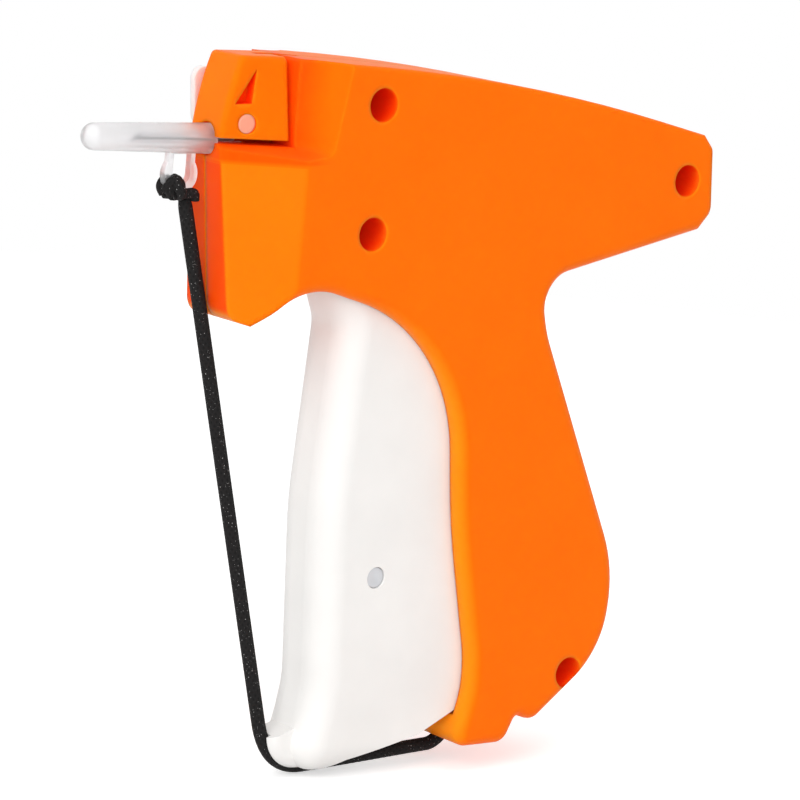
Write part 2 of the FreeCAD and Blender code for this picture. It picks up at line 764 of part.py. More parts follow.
def drive_lever():
    """The drive lever: a bowed plate with a rim, a wide hub, and a bore at each end for its pins."""
    plate = slab(lever_profile(), -lever_half, lever_half)
    axle = spot(lever_axle_share)
    pins = [spot(slide_pin_share), spot(link_pin_share), axle]
    pocket = inset_slab(lever_profile(), lever_rim, lever_web_half, lever_half + overrun)
    pocket = pocket.fuse(inset_slab(lever_profile(), lever_rim, -lever_half - overrun, -lever_web_half))
    for pin in pins:
        pocket = pocket.cut(rod_y(pin, lever_hub_radius, -half_width, half_width))
    hub = rod_y(axle, lever_hub_radius, -trigger_half, trigger_half)
    body = joined([plate.cut(pocket), hub])
    cuts = [
        rod_y(axle, lever_axle_radius + running, -half_width, half_width),
        rod_y(pins[0], slide_pin_radius, -half_width, half_width),
        rod_y(pins[1], link_pin_radius, -half_width, half_width),
    ]
    return without(body, cuts)


def drive_link():
    """The forked link from the trigger's pin to the lever's lower arm."""
    near = spot(trigger_pin_share)
    far = spot(link_pin_share)
    along = (far - near).normalize()
    across = FreeCAD.Vector(-along.z, 0, along.x)
    cheek = link_half - lever_half - loose
    side = across * link_arm_half
    bridge_end = near + along * link_bridge
    body = joined([
        rod_y(near, link_eye, -link_half, link_half),
        polygon_slab([near + side, bridge_end + side, bridge_end - side, near - side], -link_half, link_half),
    ] + [arm for low in (-link_half, lever_half + loose) for arm in (
        polygon_slab([near + side, far + side, far - side, near - side], low, low + cheek),
        rod_y(far, link_eye, low, low + cheek))])
    cuts = [
        rod_y(near, trigger_pin_radius + running, -half_width, half_width),
        rod_y(far, link_pin_radius + link_slack, -half_width, half_width),
    ]
    return without(body, cuts)


def pusher_slide():
    """The slide that carries the pusher: two cheeks with a leaning slot, wings on the rails, a spring hook."""
    body = block(-slide_front, slide_back, -slide_half, slide_half, slide_foot, slide_top)
    wings = block(-slide_front, slide_back, -slide_half - slide_wing, slide_half + slide_wing,
                  needle_height - wing_height / 2, needle_height + wing_height / 2)
    pin = spot(slide_pin_share)
    gap_front = pin.x - lever_hub_radius - 2 * loose
    gap_half = lever_half + loose
    gap = block(gap_front, slide_back + overrun, -gap_half, gap_half, slide_foot - overrun, slide_top - wall)
    room = block(-slide_front - overrun, gap_front + overrun, -half_width, half_width,
                 slide_foot - overrun, slide_nose_foot)
    room = room.cut(block(-slide_front + wall, 0.0, -half_width, half_width, slide_foot - overrun, slide_nose_foot)
                    .cut(block(-slide_front, 0.0, -gap_half, gap_half, 0.0, body_height)))
    slot_axis = FreeCAD.Vector(-math.sin(math.radians(slide_slot_lean)), 0, math.cos(math.radians(slide_slot_lean)))
    reach = slide_pin_radius + sliding
    low = pin - slot_axis * slide_slot_drop
    side = FreeCAD.Vector(slot_axis.z, 0, -slot_axis.x)
    slot = polygon_slab([pin + side * reach, low + side * reach, low - side * reach, pin - side * reach],
                        -half_width, half_width)
    slot = joined([slot, rod_y(pin, reach, -half_width, half_width), rod_y(low, reach, -half_width, half_width)])
    hook = rod_y(FreeCAD.Vector(slide_back + hook_reach, 0, spring_height), hook_radius / 2,
                 -slide_half, slide_half)
    ears = block(slide_back - overrun, slide_back + hook_reach + hook_radius / 2, -slide_half, slide_half,
                 spring_height - hook_radius / 2, spring_height + hook_radius / 2)
    ears = ears.cut(block(-body_length, body_length, -spring_radius - spring_wire, spring_radius + spring_wire,
                          0.0, body_height))
    rod_hole = rod_x(-slide_front - overrun, -slide_front + rod_seat, 0.0, needle_height, rod_radius)
    body = joined([body, wings]).cut(gap)
    return without(joined([body, hook, ears]), [room, slot, rod_hole])


def pusher_rod():
    """The steel rod that pushes one tag bar through the needle at each squeeze."""
    return rod_x(-rod_tip, -slide_front + rod_seat, 0.0, needle_height, rod_radius)


def return_spring():
    """The return spring in the tail, close wound, so a plain tube with its straight end wires."""
    boss = spot(screw_place_shares[2])
    rear_end = boss.x - math.sqrt(boss_radius ** 2 - (spring_height - boss.z) ** 2)
    front_end = slide_back + hook_reach + hook_radius / 2
    coil_front, coil_rear = front_end + spring_end, rear_end - spring_end
    coil = rod_x(coil_front, coil_rear, 0.0, spring_height, spring_radius)
    core = rod_x(coil_front, coil_rear, 0.0, spring_height, spring_radius - spring_wire)
    wire_side = spring_radius - spring_wire / 2
    wires = [rod_x(front_end, coil_front + spring_wire, wire_side, spring_height, spring_wire / 2),
             rod_x(coil_rear - spring_wire, rear_end, wire_side, spring_height, spring_wire / 2)]
    return joined([coil.cut(core)] + wires)


def feed_wheel():
    """The star wheel that moves the tag clip down by one bar."""
    tooth = 2 * math.pi / wheel_teeth
    points = []
    for i in range(wheel_teeth):
        for share, radius in ((0.0, wheel_radius), (wheel_tooth_share, wheel_root)):
            angle = (i + share) * tooth
            points.append(FreeCAD.Vector(0, radius * math.cos(angle), radius * math.sin(angle)))
    face = Part.Face(Part.makePolygon(points + points[:1]))
    wheel = face.extrude(FreeCAD.Vector(wheel_thickness, 0, 0))
    wheel.translate(FreeCAD.Vector(-wheel_place - wheel_thickness / 2, wheel_side, wheel_height))
    bore = rod_x(-body_length, 0.0, wheel_side, wheel_height, feed_axle_radius + running)
    return wheel.cut(bore)


def feed_axle():
    return rod_x(-wheel_place - wheel_thickness / 2 - loose, -head_solid_back - overrun, wheel_side, wheel_height,
                 feed_axle_radius)


def check_pawl():
    """The leaf that rests on the star wheel and stops it turning back."""
    return block(-wheel_place - pawl_width / 2, -wheel_place + pawl_width / 2,
                 wheel_side - pawl_thickness / 2, wheel_side + pawl_thickness / 2,
                 wheel_height + wheel_radius + loose, wheel_height + pawl_height)


def housing_screws():
    """The screws that close the shells, as one group of separate solids."""
    screws = []
    for share in screw_place_shares:
        place = spot(share)
        seat = -half_width + screw_recess_depth
        head = rod_y(place, screw_head_radius, seat - screw_head_height, seat)
        shank = rod_y(place, screw_radius, seat, screw_grip)
        screws.append(head.fuse(shank).removeSplitter())
    return Part.makeCompound(screws)


def cord_path():
    corners = [(FreeCAD.Vector(x, 0, z), radius) for x, z, radius in cord_route]
    return rounded_wire(corners, closed=False)


def elastic_cord():
    """The elastic cord, from the knot on the cap's ring round the trigger's toe to its anchor."""
    path = cord_path()
    start = path.Vertexes[0].Point
    direction = path.Edges[0].tangentAt(path.Edges[0].FirstParameter)
    section = Part.Wire(Part.Circle(start, direction, cord_radius).toShape())
    tube = path.makePipeShell([section], True, False)
    expected = math.pi * cord_radius ** 2 * path.Length
    print("cord: length", round(path.Length, 2), "bends", [r for _, _, r in cord_route if r],
          "volume over section times length", round(tube.Volume / expected, 4))
    return tube


def barrel(place, radius):
    """A short round piece across the tool, as long as it is thick, with wide bevels at both ends."""
    body = rod_y(place, radius, -radius, radius)
    return body.makeChamfer(radius / 2, [e for e in body.Edges if e.BoundBox.YLength < running])


def cord_knot():
    """The knot under the cap's ring: a lump round the ring's foot and a bead at the loose end."""
    centre = spot(knot_place_share)
    bead = spot(knot_bead_share)
    neck = Part.makeCylinder(knot_neck_radius, (bead - centre).Length, centre, bead - centre)
    ring_centre = FreeCAD.Vector(-ring_place, 0, needle_height - ring_drop)
    gap = ring_thickness / 2 + running
    ring_room = rod_y(ring_centre, ring_radius + running, -gap, gap)
    ring_room = ring_room.cut(rod_y(ring_centre, ring_hole - running, -body_width, body_width))
    first_run = cord_path().Edges[0]
    below = Part.makeCylinder(body_width, body_width, first_run.Vertexes[0].Point,
                              first_run.tangentAt(first_run.FirstParameter))
    knot = joined([barrel(centre, knot_radius), neck, barrel(bead, knot_bead_radius)])
    return knot.cut(ring_room).cut(below)


def cross_pin(share, radius, half_length):
    place = spot(share)
    return rod_y(place, radius, -half_length, half_length)


def main():
    os.makedirs("parts", exist_ok=True)
    axle_end = inner_half - seat_overlap
    nodes = {
        "left_shell": finished_left_shell(),
        "right_shell": finished_right_shell(),
        "nose_block": nose_block(),
        "housing_screws": housing_screws(),
        "needle": needle(),
        "needle_base": needle_base(),
        "needle_cap": needle_cap(),
        "needle_lock_lever": lock_lever(),
        "trigger": trigger(),
        "trigger_axle": cross_pin(trigger_axle_share, trigger_axle_radius, axle_end),
        "trigger_pin": cross_pin(trigger_pin_share, trigger_pin_radius, trigger_half - pin_recess),
        "drive_link": drive_link(),
        "drive_lever": drive_lever(),
        "lever_axle": cross_pin(lever_axle_share, lever_axle_radius, axle_end),
        "lever_link_pin": cross_pin(link_pin_share, link_pin_radius, link_half),
        "lever_slide_pin": cross_pin(slide_pin_share, slide_pin_radius, slide_half),
        "pusher_slide": pusher_slide(),
        "pusher_rod": pusher_rod(),
        "return_spring": return_spring(),
        "feed_wheel": feed_wheel(),
        "feed_axle": feed_axle(),
        "check_pawl": check_pawl(),
        "cord_anchor": cross_pin(cord_anchor_share, anchor_radius, axle_end),
        "elastic_cord": elastic_cord(),
        "cord_knot": cord_knot(),
    }
    for name, shape in nodes.items():
        shape.exportStep("parts/" + name + ".step")
        solids = len(shape.Solids)
        print(name, "solids", solids, "valid", shape.isValid(), "volume", round(shape.Volume, 1))


main()
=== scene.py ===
# %% [markdown]
# A garment tag attacher is a squeeze tool that shoots plastic tag fasteners through a hollow needle.
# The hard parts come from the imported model, in metres and already in place, so this lesson gives them
# their finishes and builds what a rigid solid cannot show: the elastic, its knot, the turned and
# screwed metal ends. Nothing here moves or resizes what the model brings.

# %% Load the model
import math
import bmesh
import bpy
from mathutils import Matrix, Vector


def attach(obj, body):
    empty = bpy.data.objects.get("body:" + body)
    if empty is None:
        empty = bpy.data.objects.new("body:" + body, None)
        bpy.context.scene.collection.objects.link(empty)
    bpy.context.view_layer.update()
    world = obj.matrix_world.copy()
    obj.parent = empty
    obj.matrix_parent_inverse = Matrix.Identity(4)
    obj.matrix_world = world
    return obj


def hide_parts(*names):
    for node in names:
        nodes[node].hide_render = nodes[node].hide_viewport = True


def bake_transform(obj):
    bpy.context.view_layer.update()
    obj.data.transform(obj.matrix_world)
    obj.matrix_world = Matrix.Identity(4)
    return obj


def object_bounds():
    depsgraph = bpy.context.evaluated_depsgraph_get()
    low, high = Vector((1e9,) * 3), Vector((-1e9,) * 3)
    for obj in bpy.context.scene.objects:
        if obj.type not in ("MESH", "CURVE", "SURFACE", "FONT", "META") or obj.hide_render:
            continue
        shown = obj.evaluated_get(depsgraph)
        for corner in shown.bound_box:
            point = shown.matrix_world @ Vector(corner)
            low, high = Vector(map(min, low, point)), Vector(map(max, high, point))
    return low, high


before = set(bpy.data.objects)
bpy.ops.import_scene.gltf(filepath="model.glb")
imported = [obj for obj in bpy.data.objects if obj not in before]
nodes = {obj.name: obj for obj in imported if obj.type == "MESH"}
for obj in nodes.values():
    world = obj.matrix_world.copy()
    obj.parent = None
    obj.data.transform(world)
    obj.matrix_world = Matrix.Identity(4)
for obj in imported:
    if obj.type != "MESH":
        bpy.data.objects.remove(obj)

cad_low, cad_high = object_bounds()
MM = 0.001
print("model box in mm:", [round(v / MM, 1) for v in cad_low], [round(v / MM, 1) for v in cad_high])

# %% [markdown]
# The camera stands where the photographer stood: in front of the tool, to its left and a little above,
# with the tool leaning slightly in the picture. A lens is easier to match from its distance and its
# angle than by eye, so the three axes of the camera are worked out and written into its matrix.

# %% Camera
CAMERA_AZIMUTH, CAMERA_ELEVATION, CAMERA_ROLL = -39.0, 9.7, 5.5    # in degrees
CAMERA_DISTANCE = 750 * MM
CAMERA_AIM = Vector((-28, 0, 20)) * MM
LENS, SENSOR = 168.75, 36.0


def direction(azimuth, elevation):
    """From the tool's middle to a place on a sphere round it, given in degrees."""
    a, e = math.radians(azimuth), math.radians(elevation)
    return Vector((math.sin(a) * math.cos(e), -math.cos(a) * math.cos(e), math.sin(e)))


def camera_axes(roll):
    """The camera's right, up and backward directions."""
    back = direction(CAMERA_AZIMUTH, CAMERA_ELEVATION)
    level = (-back).cross(Vector((0, 0, 1))).normalized()
    upright = level.cross(-back)
    right = level * math.cos(roll) + upright * math.sin(roll)
    return right, back.cross(right), back


def make_camera():
    data = bpy.data.cameras.new("photo_camera")
    data.lens, data.sensor_width = LENS, SENSOR
    data.clip_start, data.clip_end = 0.01, 20.0
    camera = bpy.data.objects.new("photo_camera", data)
    bpy.context.scene.collection.objects.link(camera)
    right, up, back = camera_axes(math.radians(CAMERA_ROLL))
    turned = Matrix((right, up, back)).transposed().to_4x4()
    camera.matrix_world = Matrix.Translation(CAMERA_AIM + back * CAMERA_DISTANCE) @ turned
    bpy.context.scene.camera = camera


make_camera()

# %% [markdown]
# The elastic runs from the knot on the cap, down past the finger face, round the trigger's toe and up
# into the handle. A NURBS curve through a few points bends the way a stretched cord does. The curve
# alone has no thickness, so it is read back as a line and a tube is swept along it, which leaves a
# mesh whose braid can stand out of the surface.

# %% Route of the elastic
CORD_RADIUS = 1.4 * MM
CURVE_STEPS = 64
ELASTIC_ROUTE = [(-84.9, 60.7), (-58.9, -34.4), (-53.3, -54.4), (-35.6, -53.7), (-16.4, -52.7),
                 (-9.0, -52.4), (-5.5, -45.9)]


def smooth_line(name, points, resolution):
    """Points along a NURBS curve, with no thickness, that has these control points."""
    data = bpy.data.curves.new(name, "CURVE")
    data.dimensions, data.resolution_u = "3D", resolution
    spline = data.splines.new("NURBS")
    spline.points.add(len(points) - 1)
    for point, place in zip(spline.points, points):
        point.co = (*place, 1.0)
    spline.order_u = 3
    spline.use_endpoint_u = True
    holder = bpy.data.objects.new(name, data)
    bpy.context.scene.collection.objects.link(holder)
    mesh = bpy.data.meshes.new_from_object(holder)
    line = [v.co.copy() for v in mesh.vertices]
    bpy.data.objects.remove(holder)
    bpy.data.meshes.remove(mesh)
    return line


def even_steps(line, step):
    """The same line with its points an even step apart, which keeps a pattern on it regular."""
    lengths = [(b - a).length for a, b in zip(line, line[1:])]
    count = max(2, round(sum(lengths) / step))
    gap = sum(lengths) / count
    even, walked, index = [line[0]], 0.0, 0
    for k in range(1, count):
        while walked + lengths[index] < k * gap:
            walked += lengths[index]
            index += 1
        share = (k * gap - walked) / lengths[index]
        even.append(line[index].lerp(line[index + 1], share))
    return even + [line[-1]]


def line_length(line):
    return sum((b - a).length for a, b in zip(line, line[1:]))


elastic_line = smooth_line("elastic_line", [Vector((x, 0, z)) * MM for x, z in ELASTIC_ROUTE], CURVE_STEPS)
print("elastic: mm long", round(line_length(elastic_line) / MM, 1))

# %% Sweep a tube along a line


def new_piece(name, mesh_data):
    piece = bpy.data.objects.new(name, mesh_data)
    bpy.context.scene.collection.objects.link(piece)
    return piece


def mesh_from(bm, name, smooth=True):
    mesh = bpy.data.meshes.new(name)
    bm.to_mesh(mesh)
    bm.free()
    mesh.polygons.foreach_set("use_smooth", [smooth] * len(mesh.polygons))
    return mesh


def swept(name, line, sides, radius_at, along=0.0):
    """A closed tube along a line, as thick as radius_at(along, around). Its UV map runs in millimetres."""
    bm = bmesh.new()
    uv = bm.loops.layers.uv.new("UVMap")
    first = bmesh.ops.create_circle(bm, cap_ends=False, radius=1.0, segments=sides)["verts"]
    ring = first
    side = (line[1] - line[0]).orthogonal().normalized()
    rings = []
    for k, place in enumerate(line):
        ahead = line[min(k + 1, len(line) - 1)] - line[max(k - 1, 0)]
        ahead.normalize()
        side = (side - ahead * side.dot(ahead)).normalized()
        across = ahead.cross(side)
        if k:
            along += (place - line[k - 1]).length
            loop = {e for v in ring for e in v.link_edges if all(o in ring for o in e.verts)}
            grown = bmesh.ops.extrude_edge_only(bm, edges=list(loop))["geom"]
            fresh = {v for v in grown if isinstance(v, bmesh.types.BMVert)}
            ring = [next(e.other_vert(v) for e in v.link_edges if e.other_vert(v) in fresh) for v in ring]
        for j, vert in enumerate(ring):
            angle = math.tau * j / sides
            radius = radius_at(along, j / sides)
            vert.co = place + (side * math.cos(angle) + across * math.sin(angle)) * radius
        rings.append((ring, along))
    where = {v: (k, j) for k, (row, _) in enumerate(rings) for j, v in enumerate(row)}
    for face in bm.faces:
        columns = [where[l.vert][1] for l in face.loops]
        wraps = max(columns) - min(columns) > sides / 2
        for loop in face.loops:
            k, j = where[loop.vert]
            column = sides if wraps and j == 0 else j
            loop[uv].uv = (column / sides, rings[k][1] / MM)
    for row, _ in (rings[0], rings[-1]):
        bmesh.ops.contextual_create(bm, geom=row)
    bmesh.ops.recalc_face_normals(bm, faces=bm.faces)
    return new_piece(name, mesh_from(bm, name))


# %% The braided elastic
BRAID_PITCH = 3.2 * MM
BRAID_STRANDS = 8
BRAID_RELIEF = 0.07 * MM
BRAID_STEP = 0.3 * MM
CORD_SIDES = 32
KNOT_HOLD, KNOT_SQUEEZE = 2.5 * MM, 0.3 * MM    # how much of the cord the knot holds, and how tightly
UPPER_LENGTH = 48 * MM


def braid_relief(along, around):
    """How far the surface lies below the crests of the braid's crossing strands, as a negative height."""
    turn = along / BRAID_PITCH
    one = math.cos(math.pi * BRAID_STRANDS * (around + turn / BRAID_STRANDS * 2))
    two = math.cos(math.pi * BRAID_STRANDS * (around - turn / BRAID_STRANDS * 2))
    return BRAID_RELIEF * (max(abs(one), abs(two)) - 1.0)


def elastic_radius(along, around):
    """The cord, squeezed where the knot holds it."""
    squeezed = max(0.0, 1.0 - along / KNOT_HOLD)
    return CORD_RADIUS - KNOT_SQUEEZE * squeezed ** 2 + braid_relief(along, around)


even_line = even_steps(elastic_line, BRAID_STEP)
split = round(UPPER_LENGTH / BRAID_STEP)
elastic_pieces = []
for name, line, steps_before in (("elastic_upper", even_line[:split + 1], 0),
                                 ("elastic_lower", even_line[split:], split)):
    piece = swept(name, line, CORD_SIDES, elastic_radius, along=steps_before * BRAID_STEP)
    elastic_pieces.append(piece)
    print(name, "mm long", round(line_length(line) / MM, 1))
upper, lower = elastic_pieces
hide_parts("elastic_cord")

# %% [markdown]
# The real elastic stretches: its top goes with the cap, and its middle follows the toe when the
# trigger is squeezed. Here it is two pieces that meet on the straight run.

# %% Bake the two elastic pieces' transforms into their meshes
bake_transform(upper)
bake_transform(lower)

# %% [markdown]
# The knot is the same elastic, passed through the ring of the cap and pulled tight, so it is a few
# turns of a thinner, squeezed cord. Two turns go round the ring's foot, two lie flat on its sides,
# and three short strands lead over them. Each is its own sweep that starts and ends inside the
# others, as the strands of a tight knot do.

# %% The knot
KNOT_MIDDLE = Vector((-88.0, 0, 62.65)) * MM
RING_OUT = Vector((-0.527, 0, -0.85))
RING_ALONG = Vector((0.85, 0, -0.527))
ACROSS = Vector((0, 1, 0))
TURN_POINTS = 8
TURN_REACH, TURN_WIDTH, FLAT_RADIUS = 0.8, 1.5, 1.42    # in millimetres
KNOT_STRAND_RADIUS = 1.05 * MM
KNOT_SIDES, KNOT_CURVE_STEPS, KNOT_STEP = 24, 24, 0.2 * MM


def turn_of(place_at):
    """Control points of a closed turn. place_at(cosine, sine) is its place from the middle, in millimetres."""
    angles = [math.tau * k / TURN_POINTS for k in range(TURN_POINTS + 1)]
    return [KNOT_MIDDLE + place_at(math.cos(angle), math.sin(angle)) * MM for angle in angles]


def round_the_ring(shift, lean):
    """A turn of the elastic round the ring's foot."""
    return turn_of(lambda c, s: RING_OUT * (TURN_REACH * c) + ACROSS * (TURN_WIDTH * s)
                   + RING_ALONG * (shift + lean * (TURN_WIDTH * s)))


def flat_turn(side, lean):
    """A turn that lies on one side of the ring's foot."""
    return turn_of(lambda c, s: RING_OUT * (FLAT_RADIUS * c) + RING_ALONG * (FLAT_RADIUS * s)
                   + ACROSS * (side + lean * (FLAT_RADIUS * s)))


def short_strand(*places):
    """A strand that is no whole turn, through places in millimetres."""
    return [Vector(place) * MM for place in places]


KNOT_STRANDS = {
    "first_turn": round_the_ring(-0.8, 0.12),
    "second_turn": round_the_ring(0.7, -0.15),
    "near_turn": flat_turn(-1.25, 0.25),
    "far_turn": flat_turn(1.25, -0.2),
    "shoulder": short_strand((-89.6, -0.8, 62.4), (-89.6, -1.7, 63.7), (-88.7, -1.9, 64.3),
                             (-87.5, -1.2, 64.2), (-86.9, -0.2, 63.6)),
    "over": short_strand((-86.9, -1.2, 61.3), (-87.4, -2.9, 61.9), (-88.3, -3.1, 62.9),
                         (-88.7, -2.2, 64.1), (-88.0, -0.6, 64.4)),
    "tail": short_strand((-87.4, -0.6, 61.8), (-85.3, -1.1, 61.6), (-83.9, -1.1, 61.8),
                         (-83.2, -0.9, 61.5), (-83.1, -0.7, 60.4)),
}


def knot_radius(along, around):
    return KNOT_STRAND_RADIUS + braid_relief(along, around)


knot_parts = []
for strand_name, places in KNOT_STRANDS.items():
    strand_line = even_steps(smooth_line("knot_line", places, KNOT_CURVE_STEPS), KNOT_STEP)
    knot_parts.append(swept("knot_" + strand_name, strand_line, KNOT_SIDES, knot_radius))
for part in knot_parts:
    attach(part, "cap")
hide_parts("cord_knot")

# %% [markdown]
# Metal ends show at two places: the cross pin in the trigger, which is turned and chamfered, and the
# screws deep in their wells, which have a domed head and a cross recess. Both start from a circle
# that is extruded, and a bevel breaks their edges, which is what catches the light on real metal.

# %% The trigger's pin
LIE_ACROSS = Matrix.Rotation(math.pi / 2, 3, "X")
PIN_PLACE = Vector((-36.234, 0, -14.206)) * MM
PIN_RADIUS, PIN_HALF = 2.2 * MM, 7.7 * MM
PIN_CHAMFER = 0.28 * MM
DISH_RINGS, DISH_RING_WIDTH, DISH_RING_DEPTH = 3, 0.272 * PIN_RADIUS, 0.05 * MM


def turned_pin(name):
    """A pin across the tool, with chamfered ends that are dished a little."""
    bm = bmesh.new()
    bmesh.ops.create_cone(bm, cap_ends=True, segments=64, radius1=PIN_RADIUS, radius2=PIN_RADIUS,
                          depth=2 * PIN_HALF)
    rims = [e for e in bm.edges if abs(e.verts[0].co.z - e.verts[1].co.z) < 1e-7]
    bmesh.ops.bevel(bm, geom=rims, offset=PIN_CHAMFER, offset_type="OFFSET", segments=3, profile=0.5,
                    affect="EDGES", material=-1)
    for cap in [f for f in bm.faces if len(f.verts) > 4]:
        for _ in range(DISH_RINGS):
            bmesh.ops.inset_region(bm, faces=[cap], thickness=DISH_RING_WIDTH, depth=-DISH_RING_DEPTH)
    bmesh.ops.rotate(bm, verts=bm.verts, cent=(0, 0, 0), matrix=LIE_ACROSS)
    bmesh.ops.translate(bm, verts=bm.verts, vec=PIN_PLACE)
    return new_piece(name, mesh_from(bm, name))


trigger_pin = turned_pin("pin_in_trigger")
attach(trigger_pin, "trigger")
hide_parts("trigger_pin")

# %% The screws
SCREW_PLACES = [(-48.556, 80.481), (-48.312, 55.461), (32.33, 66.303), (13.786, -36.557)]
HEAD_RADIUS, HEAD_ROUNDING, SHANK_RADIUS = 2.3 * MM, 0.7 * MM, 1.4 * MM
HEAD_TOP, HEAD_SEAT, SHANK_END = -3.7 * MM, -2.0 * MM, 8.0 * MM
CROSS_ARM, CROSS_REACH, CROSS_DEPTH, CROSS_TAPER = (v * MM for v in (0.34, 1.35, 0.8, 0.08))


def screw(name, place):
    """A pan head with a cross recess, and its shank, pointing along +Y."""
    bm = bmesh.new()
    bmesh.ops.create_cone(bm, cap_ends=True, segments=48, radius1=HEAD_RADIUS, radius2=HEAD_RADIUS,
                          depth=HEAD_SEAT - HEAD_TOP)
    top = (HEAD_SEAT - HEAD_TOP) / 2
    rim = [e for e in bm.edges if all(v.co.z > top - 1e-7 for v in e.verts)]
    bmesh.ops.bevel(bm, geom=rim, offset=HEAD_ROUNDING, offset_type="OFFSET", segments=5, profile=0.5,
                    affect="EDGES", material=-1)

    def on_top(face):
        return face.normal.z > 0.99 and face.calc_center_median().z > top - 1e-6

    for normal in ((1, 0, 0), (0, 1, 0)):
        for shift in (-CROSS_REACH, -CROSS_ARM, CROSS_ARM, CROSS_REACH):
            flat = [f for f in bm.faces if on_top(f)]
            geom = flat + list({e for f in flat for e in f.edges}) + list({v for f in flat for v in f.verts})
            bmesh.ops.bisect_plane(bm, geom=geom, plane_co=Vector(normal) * shift, plane_no=normal)
    cross = []
    for face in bm.faces:
        c = face.calc_center_median()
        inside = max(abs(c.x), abs(c.y)) < CROSS_REACH and min(abs(c.x), abs(c.y)) < CROSS_ARM
        if inside and on_top(face):
            cross.append(face)
    bmesh.ops.inset_region(bm, faces=cross, thickness=CROSS_TAPER, depth=-CROSS_DEPTH)
    foot = [f for f in bm.faces if f.normal.z < -0.99]
    bmesh.ops.inset_region(bm, faces=foot, thickness=HEAD_RADIUS - SHANK_RADIUS, depth=0.0)
    core = min((f for f in bm.faces if f.normal.z < -0.99), key=lambda f: f.calc_center_median().xy.length)
    grown = bmesh.ops.extrude_face_region(bm, geom=[core])["geom"]
    bmesh.ops.translate(bm, verts=[v for v in grown if isinstance(v, bmesh.types.BMVert)],
                        vec=(0, 0, HEAD_SEAT - SHANK_END))
    bmesh.ops.delete(bm, geom=[core], context="FACES_ONLY")
    bmesh.ops.rotate(bm, verts=bm.verts, cent=(0, 0, 0), matrix=LIE_ACROSS)
    bmesh.ops.translate(bm, verts=bm.verts, vec=(place[0] * MM, (HEAD_TOP + HEAD_SEAT) / 2, place[1] * MM))
    return new_piece(name, mesh_from(bm, name, smooth=False))


screws = []
for number, place in enumerate(SCREW_PLACES):
    piece = screw("screw_%d" % number, place)
    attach(piece, "housing")
    screws.append(piece)
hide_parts("housing_screws")

# %% [markdown]
# Moulded plastic is never one flat colour. Edges are rounder than the model draws them and polished
# by hands, and the surface has a very fine grain. Much of the rest is painted light. Light sinks into
# a thin orange wall and comes back redder, so a painted deep red stands for it in the wells, the
# creases, the muzzle and the scooped window; the faces that look forward get a painted lighter front
# colour; and on the orange the lighter edge colour is partly a painted highlight as well as wear. They
# are placed by how much of the sky a spot sees, by where its face looks, and by zones at the nose.
# What all the plastics share is built once as a node group, and each material sets its own numbers on it.

# %% Shared nodes


def group(name, inputs, outputs):
    """An empty shader node group with named sockets, given as (name, type)."""
    tree = bpy.data.node_groups.new(name, "ShaderNodeTree")
    for way, sockets in (("INPUT", inputs), ("OUTPUT", outputs)):
        for label, kind in sockets:
            tree.interface.new_socket(label, in_out=way, socket_type="NodeSocket" + kind)
    return tree, tree.nodes.new("NodeGroupInput").outputs, tree.nodes.new("NodeGroupOutput").inputs


def node(tree, kind, links=None, **settings):
    """A new node with its settings, and its inputs linked or set by name or number."""
    made = tree.nodes.new("ShaderNode" + kind)
    for key, value in settings.items():
        setattr(made, key, value)
    for key, value in (links or {}).items():
        socket = made.inputs[key]
        if isinstance(value, bpy.types.NodeSocket):
            tree.links.new(value, socket)
        else:
            socket.default_value = value
    return made


def mixed_colour(tree, factor, first, second):
    return node(tree, "Mix", {0: factor, 6: first, 7: second}, data_type="RGBA").outputs[2]


def ramp(tree, value, start, end, low=0.0, high=1.0):
    """Runs from low, where the value is start, to high, where it is end, and is level beyond them."""
    links = {"Value": value, "From Min": start, "From Max": end, "To Min": low, "To Max": high}
    return node(tree, "MapRange", links).outputs["Result"]


def maths(tree, operation, first, second=0.0, clamp=False):
    return node(tree, "Math", {0: first, 1: second}, operation=operation, use_clamp=clamp).outputs[0]


def noise(tree, place, scale, detail):
    return node(tree, "TexNoise", {"Vector": place, "Scale": scale, "Detail": detail}).outputs["Fac"]


# %% Moulded plastic
GRAIN, GRAIN_HEIGHT = 0.1, 0.03 * MM
NOISE_SPAN = 0.3, 0.7        # nearly all of a noise lies between these
ROUGH_SWING = 0.04
EDGE_LEAN = 0.985, 0.9       # an edge is where the rounded normal leans away from the face's own
FRONT_LEAN = -0.12, -0.90    # how far a face looks forward, where the front colour begins and is full
MUZZLE_LEAN = -0.72, -0.93
HEAD_FOOT, LEDGE_SOFT = 68.3 * MM, 0.6 * MM      # the ledge under the nose block
NOSE_BACK, NOSE_SOFT = -70.0 * MM, 2 * MM
SLIT_BACK, SLIT_FADE, SLIT_SHARE = -66.2 * MM, 6.5 * MM, 0.6     # the scooped window begins here
DEEP_REACH = 8 * MM          # how near a wall has to be to make a place deep
DEEP_SKY = 0.90, 0.35        # the share of open sky where the deep colour begins and is full
SEAM_HALF, SEAM_END, SEAM_SHADE = 0.06 * MM, 0.14 * MM, 0.35
SEAM_LEAN = 0.2, 0.6         # the parting seam shows on faces that look up


